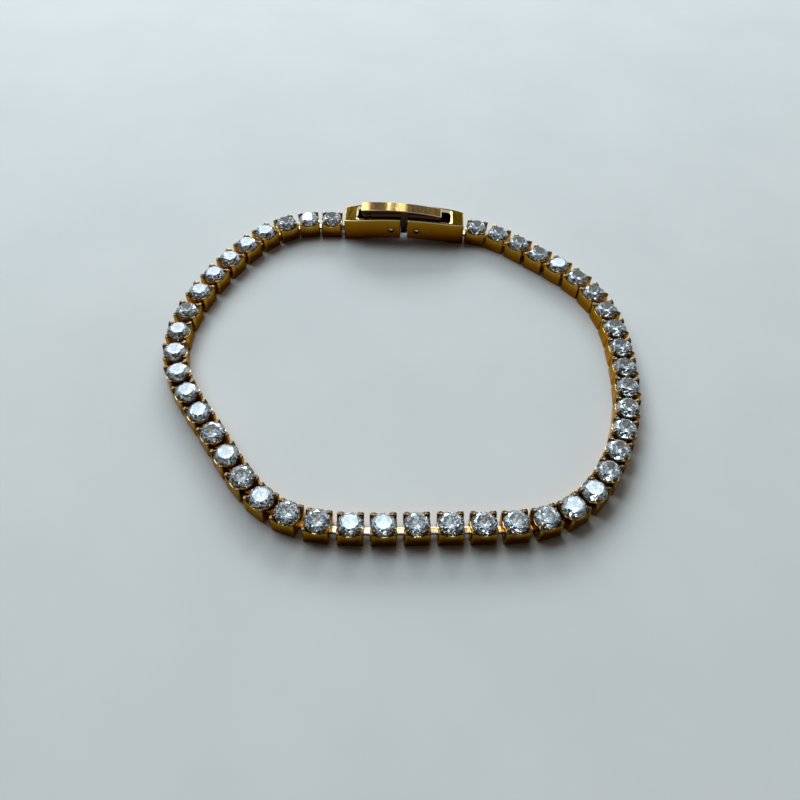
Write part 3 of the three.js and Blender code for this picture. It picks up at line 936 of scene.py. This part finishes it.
def cover(side):
    above = COVER_HEIGHT + 2 * THROUGH
    body = fused(cover_block(side), pocket(side, COVER_FLOOR, above)[0], "DIFFERENCE")
    body = fused(body, pocket_chamfer(side), "DIFFERENCE")
    if side < 0:
        body = fused(body, window(CLASP_END), "DIFFERENCE")
        wall = SETTING_WALL - CLASP_END
        hollow = box(wall, wall + HOLLOW_LENGTH, -HOLLOW_HALF, HOLLOW_HALF,
                     -2 * THROUGH, WINDOW_HIGH)
        body = fused(body, hollow, "DIFFERENCE")
    start, end = sorted((side * CENTRE_GAP / 2, side * CLASP_END))
    bend(body, start, end)
    bore = bar_across(*rivet_place(side), RIVET_BORE / 2, COVER_HALF + THROUGH)
    body = fused(body, bore, "DIFFERENCE")
    if side > 0:
        body = fused(body, tongue(CLASP_END), "UNION")
    return on_clasp(body, "cover", CRISP_ANGLE)


for side, word in SIDES:
    node = f"clasp_cover_{word}"
    piece = show(f"cover_{word}", cover(side), brushed_gold, "brushed_gold", node)
    print(piece.name, len(piece.data.polygons), "faces")

# %% [markdown]
# The bridge is the bright arched strip. From the side it is a long lens: thick in its middle and
# thin at both ends. Its two curves could be drawn as splines, but two short formulas give the same
# and stay easy to fit: a long block is cut into slices, and each one is lifted to the arch and
# made as deep as the flange is there.

# %% Bridge outline
BRIDGE_HALF_LENGTH = 6.0
BRIDGE_DEPTH = 1.85
BRIDGE_TIP = 0.4
BRIDGE_LIFT = 0.948
BRIDGE_SLOPE = 0.056
BRIDGE_BULGE = 0.12
BRIDGE_SHIFT = 0.45
PIN_INSET = 1.2
PIN_DROP = 1.0
BRIDGE_CUTS = 40


def bridge_top(x):
    """The height of the bridge's upper face."""
    share = (x - BRIDGE_SHIFT) / BRIDGE_HALF_LENGTH
    return rise(x) + COVER_HEIGHT + BRIDGE_LIFT + BRIDGE_SLOPE * x - BRIDGE_BULGE * share ** 2


def flange_depth(x):
    """How far the side flange reaches down from the upper face."""
    share = min(abs((x - BRIDGE_SHIFT) / BRIDGE_HALF_LENGTH), 1)
    return BRIDGE_TIP + (BRIDGE_DEPTH - BRIDGE_TIP) * math.sqrt(1 - share ** 4)


def sliced_block(half_length, half_width, top, depth):
    """A block along the bridge, made with its faces at 0 and 1 and then shaped slice by slice."""
    bm = box(BRIDGE_SHIFT - half_length, BRIDGE_SHIFT + half_length, -half_width, half_width, 0, 1)
    for x in np.linspace(-half_length, half_length, BRIDGE_CUTS + 1)[1:-1]:
        slice_at(bm, BRIDGE_SHIFT + x)
    for vert in bm.verts:
        above = vert.co.z > 0.5
        vert.co.z = top(vert.co.x) - (0 if above else depth(vert.co.x))
    return bm


def pin_place(side):
    x = BRIDGE_SHIFT + side * (BRIDGE_HALF_LENGTH - PIN_INSET)
    return x, bridge_top(x) - PIN_DROP


print("bridge outline:", 2 * BRIDGE_HALF_LENGTH, "mm long,", BRIDGE_DEPTH, "mm deep")

# %% [markdown]
# Below, the bridge is a channel for the leaves, cut by a second and narrower block of the same
# form, so that its roof keeps the same thickness all along. Round bosses carry the two pins, and a
# lug in the middle fills the gap between the covers. The lug could be part of the first block, but
# the channel would then cut it away, so it is fused on afterwards.

# %% Bridge
BRIDGE_HALF = 1.0
BRIDGE_PLATE = 0.4
BRIDGE_FLANGE = 0.35
BRIDGE_BREAK = 0.09
CHANNEL_DEPTH = 3.0
PIN_RADIUS = 0.225
PIN_BOSS = 0.525
BOSS_INSET = 0.02
LUG_HALF = 0.49
LUG_INSET = 0.2
LUG_ROUND = 0.08
PLAY = 0.1


def bridge():
    body = sliced_block(BRIDGE_HALF_LENGTH, BRIDGE_HALF, bridge_top, flange_depth)
    bmesh.ops.recalc_face_normals(body, faces=body.faces)
    round_edges(body, corners(body), BRIDGE_BREAK)
    for side in (1, -1):
        boss = bar_across(*pin_place(side), PIN_BOSS, BRIDGE_HALF - BOSS_INSET)
        body = fused(body, boss, "UNION")
    channel = sliced_block(BRIDGE_HALF_LENGTH + THROUGH, BRIDGE_HALF - BRIDGE_FLANGE,
                           lambda x: bridge_top(x) - BRIDGE_PLATE, lambda x: CHANNEL_DEPTH)
    body = fused(body, channel, "DIFFERENCE")
    lug = box(-LUG_HALF, LUG_HALF, -BRIDGE_HALF, BRIDGE_HALF,
              CLASP_RISE + LUG_INSET, bridge_top(0) - LUG_INSET)
    round_edges(lug, lug.edges[:], LUG_ROUND)
    body = fused(body, lug, "UNION")
    for side in (1, -1):
        bore = bar_across(*pin_place(side), PIN_RADIUS + PLAY, BRIDGE_HALF + THROUGH)
        body = fused(body, bore, "DIFFERENCE")
    return on_clasp(body, "bridge", CRISP_ANGLE)


piece = show("bridge", bridge(), strip_gold, "brushed_gold", "clasp_bridge")
print("bridge:", len(piece.data.polygons), "faces")

# %% [markdown]
# Rivets hold the leaves in the covers and pins hold them in the bridge. A plain cylinder would do
# for the hidden pins, but a rivet's head is domed by the hammer and shows. So both are spun from a
# rounded outline, as the claws are, and laid across the clasp.

# %% Rivets and pins
RIVET_RADIUS = 0.36
RIVET_DOME = 0.24
PIN_DOME = 0.08


def domed_bar(x, z, radius, half, dome):
    """A round bar across the clasp with a dome on both ends."""
    arc = [(radius * math.cos(a), half - dome + dome * math.sin(a))
           for a in np.linspace(0, math.pi / 2, DOME_STEPS)]
    profile = [(r, -h) for r, h in reversed(arc)] + arc
    bm = spun(profile, BAR_SIDES, (0, 0))
    bmesh.ops.transform(bm, matrix=across(x, z), verts=bm.verts)
    return on_clasp(bm, "bar")


for side, word in SIDES:
    rivet = domed_bar(*rivet_place(side), RIVET_RADIUS, COVER_HALF, RIVET_DOME)
    show(f"rivet_{word}", rivet, rivet_gold, "polished_gold", f"clasp_rivet_{word}")
    pin = domed_bar(*pin_place(side), PIN_RADIUS, BRIDGE_HALF, PIN_DOME)
    show(f"pin_{word}", pin, polished_gold, "polished_gold", f"bridge_pin_{word}")
print("rivets and pins: 2 and 2")

# %% [markdown]
# A leaf is a flat lever, round at both ends, that no one sees while the clasp is closed. It could
# be left out, but the frame has it, and a part should be whole when it is taken apart. It is a bar
# with two discs fused to its ends and a hole through each.

# %% Leaves
LEAF_HALF = 0.5
LEAF_RADIUS = 0.525


def leaf(side):
    """A lever from a cover's rivet to the bridge's pin on the same side."""
    foot = Vector(rivet_place(side))
    tip = Vector(pin_place(side))
    span = (tip - foot).length
    angle = math.atan2(tip.y - foot.y, tip.x - foot.x)
    body = box(0, span, -LEAF_HALF, LEAF_HALF, -LEAF_RADIUS, LEAF_RADIUS)
    for x in (0, span):
        body = fused(body, bar_across(x, 0, LEAF_RADIUS, LEAF_HALF), "UNION")
    body = fused(body, bar_across(0, 0, RIVET_RADIUS + PLAY, 2 * LEAF_HALF), "DIFFERENCE")
    body = fused(body, bar_across(span, 0, PIN_RADIUS + PLAY, 2 * LEAF_HALF), "DIFFERENCE")
    turn = Matrix.Translation((foot.x, 0, foot.y)) @ Matrix.Rotation(-angle, 4, "Y")
    bmesh.ops.transform(body, matrix=turn, verts=body.verts)
    return on_clasp(body, "leaf")


for side, word in SIDES:
    show(f"leaf_{word}", leaf(side), inner_gold, "inner_gold", f"clasp_leaf_{word}")
print("leaves: 2")

# %% [markdown]
# The floor is a plain pale sheet. A single flat colour would look like the inside of a computer, so
# its shade wanders a little, and it takes soft shadows as paper does.

# %% Floor
FLOOR_COLOUR = (0.69, 0.635, 0.575, 1)
FLOOR_SHADE = (0.60, 0.56, 0.51, 1)
FLOOR_CLOUDS = 60
FLOOR_ROUGHNESS = 0.9
FLOOR_HALF = 1.0


def make_floor():
    material, tree, shader = new_material("floor")
    coordinates = add(tree, "ShaderNodeTexCoord")
    clouds = noise(tree, coordinates, FLOOR_CLOUDS, 4.0)
    feed(tree, blend_colours(tree, clouds, FLOOR_COLOUR, FLOOR_SHADE), shader.inputs["Base Color"])
    feed(tree, FLOOR_ROUGHNESS, shader.inputs["Roughness"])
    bm = bmesh.new()
    bmesh.ops.create_grid(bm, x_segments=1, y_segments=1, size=FLOOR_HALF)
    mesh = mesh_of(bm, "floor")
    mesh.materials.append(material)
    floor = bpy.data.objects.new("floor", mesh)
    bpy.context.scene.collection.objects.link(floor)


make_floor()
print("floor:", 2 * FLOOR_HALF, "m square")

# %% [markdown]
# Daylight comes from behind. A large window high on the left is what the tables of the stones
# mirror. Two narrow panes and a sill make the bright bands across the bridge, two small panes on
# the right light single stones, and a low, far and very bright window gives the floor its light,
# the rims their cream lines and the bracelet its long soft shadow. A picture of a room all round
# would give the same mirrors, but each of these is an area light turned to face the bracelet,
# because its place and size can then be read off in degrees. A stone throws back what is above it,
# so two dim cards hang there, one overhead and one over the viewer. They are there for mirrors and
# glass alone: a photographer would hide them from the floor with a flag.

# %% Windows
WINDOW_DISTANCE = 0.7
DAYLIGHT = (0.69, 0.86, 1.0)
SKY = 5.2
WIDE_PANE = 9.0
BRIGHT_PANE = 13.0
FAR_SKY = 15.0
OVERHEAD = 0.7
OVER_VIEWER = 0.52


def window_light(name, azimuth, elevation, width, height, radiance, roll=0.0, lights_floor=True):
    """A bright rectangle seen from the bracelet, with its place, size and roll in degrees."""
    a, e = math.radians(azimuth), math.radians(elevation)
    towards = Vector((math.sin(a) * math.cos(e), math.cos(a) * math.cos(e), math.sin(e)))
    data = bpy.data.lights.new(name, "AREA")
    data.shape = "RECTANGLE"
    data.size = 2 * WINDOW_DISTANCE * math.tan(math.radians(width / 2))
    data.size_y = 2 * WINDOW_DISTANCE * math.tan(math.radians(height / 2))
    data.energy = radiance * math.pi * data.size * data.size_y
    data.color = DAYLIGHT
    side = Vector((math.cos(a), -math.sin(a), 0))
    up = side.cross(-towards)
    facing = Matrix((side, up, towards)).transposed().to_4x4()
    lamp = bpy.data.objects.new(name, data)
    lamp.matrix_world = (Matrix.Translation(towards * WINDOW_DISTANCE)
                         @ facing @ Matrix.Rotation(math.radians(roll), 4, "Z"))
    lamp.visible_camera = False
    lamp.visible_diffuse = lights_floor
    bpy.context.scene.collection.objects.link(lamp)


window_light("window_left", -38.7, 50.3, 43.2, 31.4, SKY, roll=-6.9)
window_light("window_bar_wide", 5.0, 40, 3.2, 12, WIDE_PANE)
window_light("window_bar_thin", 0.2, 40, 1.2, 12, BRIGHT_PANE)
window_light("window_sill", -9.9, 36.5, 2.6, 5, BRIGHT_PANE)
window_light("window_right_high", 29.5, 56.2, 3.4, 3.6, SKY)
window_light("window_right_low", 18.0, 39.4, 2.6, 2.6, SKY)
window_light("window_far", -2, 25, 40, 14, FAR_SKY)
window_light("ceiling_card", 0, 78, 60, 34, OVERHEAD, lights_floor=False)
window_light("front_card", 180, 62, 50, 26, OVER_VIEWER, lights_floor=False)
print("windows: 7, cards: 2")

# %% [markdown]
# The room fills what the windows leave. Real walls would do it too, but they would be slow to
# light and in the way of other views. So it is a background whose colour goes by direction: dark
# in front and overhead, so that the shadows stay deep, lighter towards the windows and bright at
# the horizon behind. The colours are shown as they are, with no film look over them.

# %% Room
ROOM_FRONT = (0.018, 0.015, 0.010, 1)
ROOM_BACK = (0.50, 0.56, 0.62, 1)
HORIZON = (1.65, 1.75, 1.85, 1)
CEILING = (0.11, 0.10, 0.07, 1)


def room_light():
    """The background by direction: Y points to the windows and Z up."""
    world = bpy.data.worlds.new("room")
    world.use_nodes = True
    tree = world.node_tree
    coordinates = add(tree, "ShaderNodeTexCoord")
    parts = add(tree, "ShaderNodeSeparateXYZ")
    tree.links.new(coordinates.outputs["Generated"], parts.inputs["Vector"])
    back = remap(tree, parts.outputs["Y"], -0.1, 0.9)
    low = remap(tree, parts.outputs["Z"], 0.35, 0.58, 1.0, 0.0)
    behind = remap(tree, parts.outputs["Y"], 0.3, 0.8)
    room = blend_colours(tree, back, ROOM_FRONT, ROOM_BACK)
    lit = blend_colours(tree, times(tree, behind, low), room, HORIZON)
    above = remap(tree, parts.outputs["Z"], 0.86, 0.95)
    over = times(tree, above, remap(tree, parts.outputs["Y"], -0.15, 0.15))
    feed(tree, blend_colours(tree, over, lit, CEILING), tree.nodes["Background"].inputs["Color"])
    bpy.context.scene.world = world


room_light()
bpy.context.scene.view_settings.view_transform = "Standard"
print("room: lit from behind")

# %% [markdown]
# Last, the script says that it is done.

# %% Finish
print("done: bracelet dressed")
